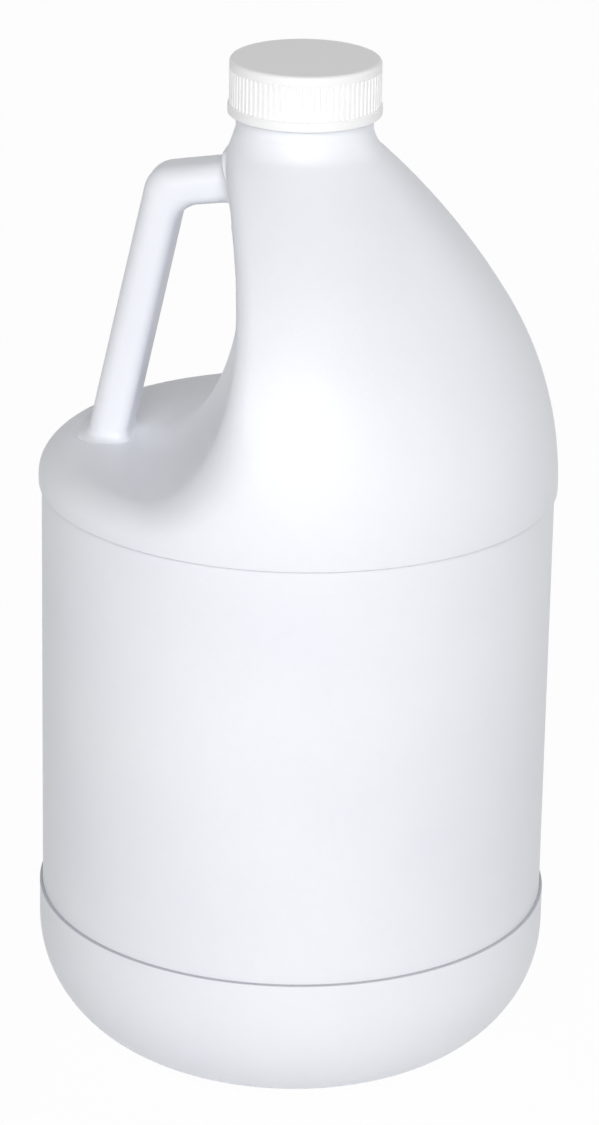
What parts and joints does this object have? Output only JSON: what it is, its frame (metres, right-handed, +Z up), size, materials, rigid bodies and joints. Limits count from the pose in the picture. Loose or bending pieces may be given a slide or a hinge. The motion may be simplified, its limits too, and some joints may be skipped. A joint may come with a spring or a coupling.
{
  "type": "screw-cap jug",
  "caption": "Round blow-moulded jug with a domed shoulder, a hollow side handle in a recess, and a ribbed screw cap with a foam liner.",
  "frame": {"origin": "centre of the standing ring, on the floor", "axes": "+Z up along the jug's axis; the handle and its recess are on the -X side, in the plane Y = 0"},
  "size_m": [0.1498, 0.1498, 0.2966],
  "materials": {
    "jug_plastic": "milky white polyethylene, fine matt grain from the blow mould",
    "cap_plastic": "opaque white polypropylene, satin",
    "liner_foam": "white closed-cell foam"
  },
  "bodies": {
    "jug": {"heel": "jug_plastic", "panel": "jug_plastic", "shoulder": "jug_plastic", "handle": "jug_plastic", "neck": "jug_plastic"},
    "liner": {"liner": "liner_foam"},
    "cap": {"cap": "cap_plastic"}
  },
  "joints": [
    {"name": "cap_rise", "type": "slide", "parent": "jug", "child": "liner", "axis": [0, 0, 1], "range_m": [0, 0.0255]},
    {"name": "cap_turn", "type": "hinge", "parent": "liner", "child": "cap", "pos_m": [0, 0, 0.2855], "axis": [0, 0, 1], "range_deg": [0, 2160]}
  ],
  "couplings": [
    {"joint": "cap_rise", "follows": "cap_turn", "m_per_rad": 0.00067374}
  ]
}
